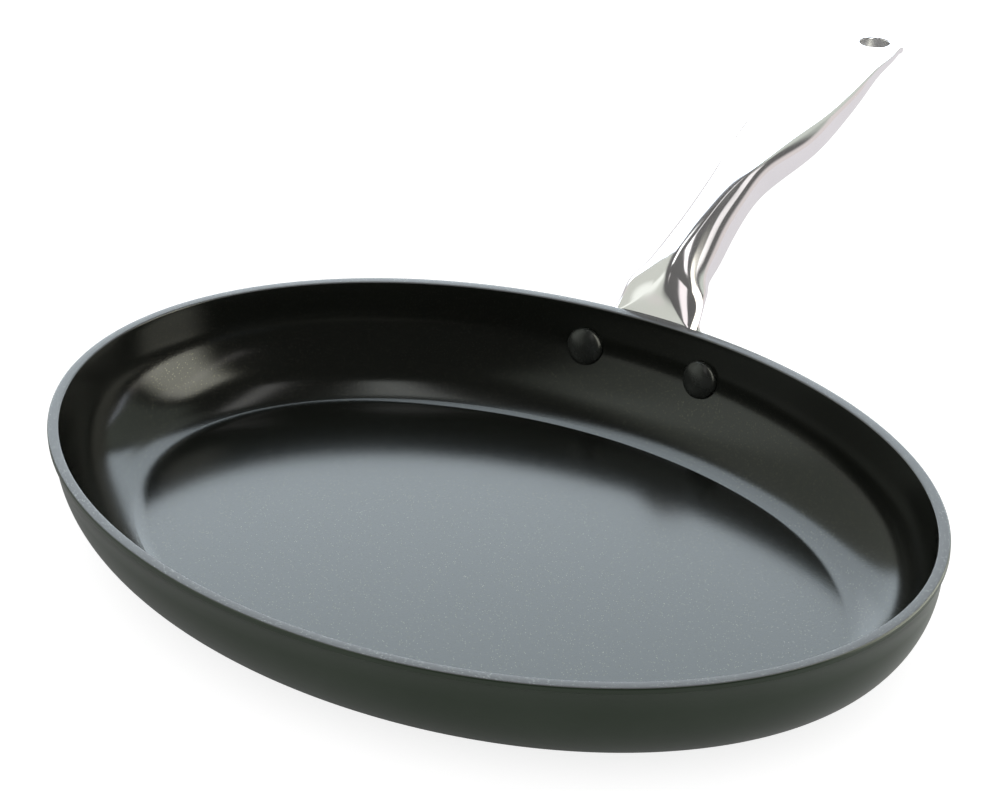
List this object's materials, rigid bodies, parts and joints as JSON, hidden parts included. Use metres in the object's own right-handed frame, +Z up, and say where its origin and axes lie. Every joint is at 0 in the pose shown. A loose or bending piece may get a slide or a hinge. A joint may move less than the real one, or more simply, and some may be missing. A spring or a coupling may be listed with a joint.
{
  "type": "oval fish pan",
  "caption": "Wide oval frying pan with curved walls and a long cast steel handle riveted to the middle of one long side.",
  "frame": {"origin": "middle of the oval on the underside of the base plate, where the pan rests", "axes": "+Z up, X along the oval, +Y out from the body along the handle"},
  "size_m": [0.36, 0.4658, 0.0983],
  "materials": {
    "coated_body": "satin",
    "base_steel": "satin",
    "handle_steel": "polished",
    "rivet_coat": "satin"
  },
  "bodies": {
    "root": {"pan_body": "coated_body", "base_plate": "base_steel", "handle": "handle_steel", "rivet_left": "rivet_coat", "rivet_right": "rivet_coat"}
  },
  "joints": []
}
